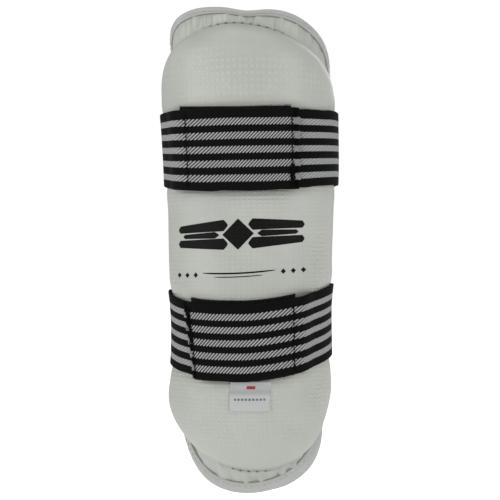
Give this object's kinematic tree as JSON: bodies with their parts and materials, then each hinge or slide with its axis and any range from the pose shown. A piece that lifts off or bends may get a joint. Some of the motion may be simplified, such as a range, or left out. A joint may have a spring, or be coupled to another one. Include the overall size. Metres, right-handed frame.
{
  "type": "forearm guard",
  "caption": "Padded forearm guard for martial arts: a curved foam pad in a bound synthetic leather cover, held on the arm by striped elastic straps that close with hook-and-loop.",
  "frame": {"origin": "middle of the arm channel, half way along the guard", "axes": "+Z along the forearm to the elbow end, -Y out through the padded face, +X to the right of someone who looks at that face"},
  "size_m": [0.0983, 0.0799, 0.2599],
  "materials": {
    "cover_leather": "embossed satin synthetic leather",
    "binding_tape": "smooth satin synthetic leather",
    "dense_foam": "matte closed-cell foam",
    "soft_foam": "matte open-cell foam",
    "lining_fabric": "matte woven lining",
    "elastic": "ribbed elastic with light grey stripes",
    "hook_and_loop": "fuzzy",
    "satin": "satin ribbon"
  },
  "bodies": {
    "pad": {"front_cover": "cover_leather", "foam_core": "dense_foam", "backing_foam": "soft_foam", "back_lining": "lining_fabric", "edge_binding": "binding_tape", "upper_loop_patch": "hook_and_loop", "lower_loop_patch": "hook_and_loop", "upper_strap_sewn_end": "elastic", "lower_strap_sewn_end": "elastic", "size_label": "satin"},
    "upper_back_span": {"upper_strap_back": "elastic"},
    "upper_tab": {"upper_strap_tab": "elastic", "upper_hook_patch": "hook_and_loop"},
    "lower_back_span": {"lower_strap_back": "elastic"},
    "lower_tab": {"lower_strap_tab": "elastic", "lower_hook_patch": "hook_and_loop"}
  },
  "joints": [
    {"name": "upper_back_swing", "type": "hinge", "parent": "pad", "child": "upper_back_span", "pos_m": [0.03765, 0.02195, 0.0558], "axis": [0, 0, -1], "range_deg": [0, 45]},
    {"name": "upper_tab_opening", "type": "hinge", "parent": "upper_back_span", "child": "upper_tab", "pos_m": [-0.03765, 0.02195, 0.0558], "axis": [0, 0, -1], "range_deg": [0, 150]},
    {"name": "lower_back_swing", "type": "hinge", "parent": "pad", "child": "lower_back_span", "pos_m": [-0.03627, 0.02194, -0.0405], "axis": [0, 0, 1], "range_deg": [0, 45]},
    {"name": "lower_tab_opening", "type": "hinge", "parent": "lower_back_span", "child": "lower_tab", "pos_m": [0.03627, 0.02194, -0.0405], "axis": [0, 0, 1], "range_deg": [0, 150]}
  ],
  "couplings": [
    {"joint": "upper_back_swing", "follows": "upper_tab_opening", "ratio": 0.3},
    {"joint": "lower_back_swing", "follows": "lower_tab_opening", "ratio": 0.3}
  ]
}
